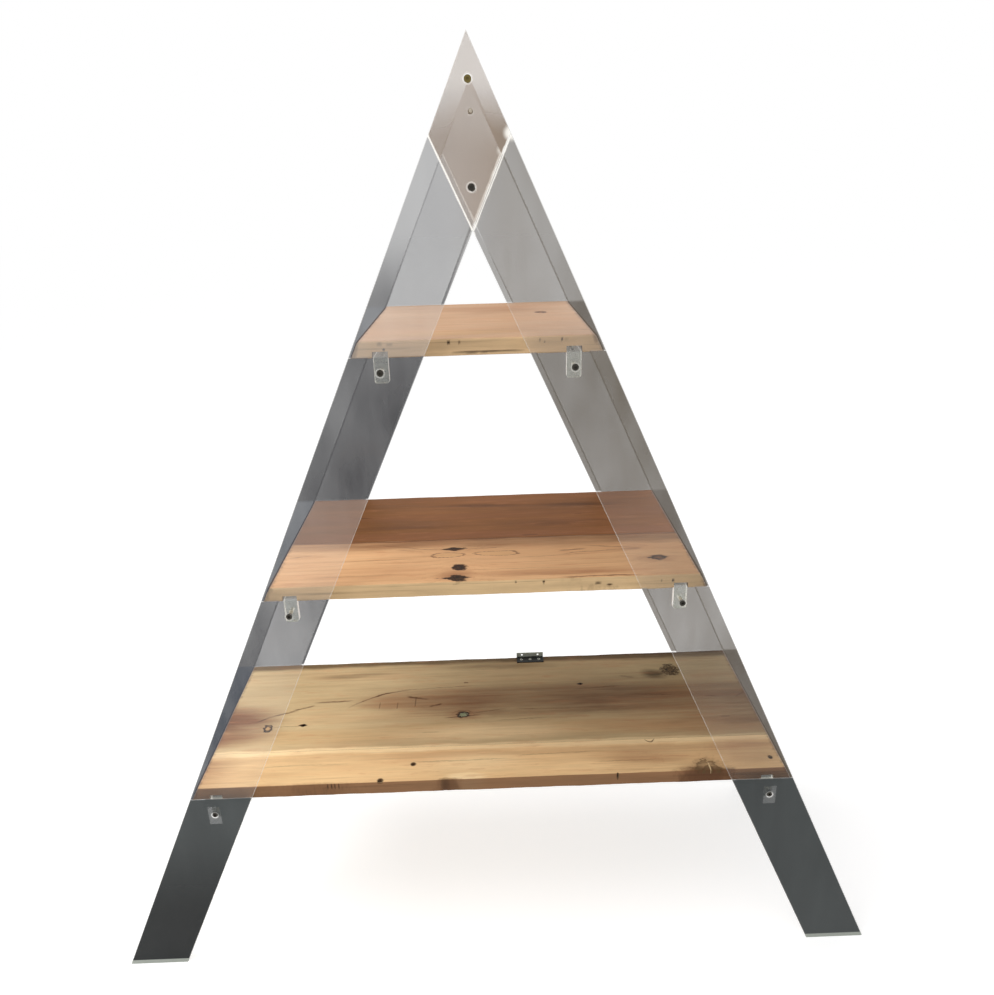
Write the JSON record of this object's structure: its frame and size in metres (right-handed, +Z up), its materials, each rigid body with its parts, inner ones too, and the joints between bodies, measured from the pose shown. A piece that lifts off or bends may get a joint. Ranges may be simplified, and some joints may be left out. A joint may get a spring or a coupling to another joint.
{
  "type": "triangular shelf",
  "caption": "A-frame etagere with lapped clear acrylic legs front and rear, carrying reclaimed wood shelves on bent acrylic brackets let into their undersides.",
  "frame": {"origin": "on the floor under the middle of the piece: centre of the four feet", "axes": "+Z up, +X to the right seen from the front, +Y from the front frame to the rear frame"},
  "size_m": [1.436, 0.4444, 1.588],
  "materials": {
    "clear_acrylic": "polished clear acrylic strip, smoky against a dark room",
    "bracket_acrylic": "polished clear acrylic, heat bent",
    "top_plank_wood": "sanded reclaimed pine, satin oil",
    "middle_front_plank_wood": "sanded reclaimed fir, satin oil",
    "middle_rear_plank_wood": "sanded reclaimed fir heartwood, satin oil",
    "bottom_front_plank_wood": "sanded reclaimed pine, satin oil",
    "bottom_rear_plank_wood": "sanded reclaimed pine, satin oil",
    "black_screw_steel": "black oxide",
    "zinc_screw_steel": "bright zinc",
    "anchor_steel": "black foot, bare upright"
  },
  "bodies": {
    "root": {"front_left_leg": "clear_acrylic", "front_right_leg": "clear_acrylic", "rear_left_leg": "clear_acrylic", "rear_right_leg": "clear_acrylic", "bottom_shelf_front_plank": "bottom_front_plank_wood", "bottom_shelf_rear_plank": "bottom_rear_plank_wood", "bottom_shelf_front_left_bracket": "bracket_acrylic", "bottom_shelf_front_right_bracket": "bracket_acrylic", "bottom_shelf_rear_left_bracket": "bracket_acrylic", "bottom_shelf_rear_right_bracket": "bracket_acrylic", "middle_shelf_front_plank": "middle_front_plank_wood", "middle_shelf_rear_plank": "middle_rear_plank_wood", "middle_shelf_front_left_bracket": "bracket_acrylic", "middle_shelf_front_right_bracket": "bracket_acrylic", "middle_shelf_rear_left_bracket": "bracket_acrylic", "middle_shelf_rear_right_bracket": "bracket_acrylic", "top_shelf_front_plank": "top_plank_wood", "top_shelf_rear_plank": "top_plank_wood", "top_shelf_front_left_bracket": "bracket_acrylic", "top_shelf_front_right_bracket": "bracket_acrylic", "top_shelf_rear_left_bracket": "bracket_acrylic", "top_shelf_rear_right_bracket": "bracket_acrylic", "bracket_screws": "black_screw_steel", "apex_screws": "black_screw_steel", "bracket_wood_screws": "zinc_screw_steel", "wall_anchor": "anchor_steel", "wall_anchor_screws": "zinc_screw_steel"}
  },
  "joints": []
}
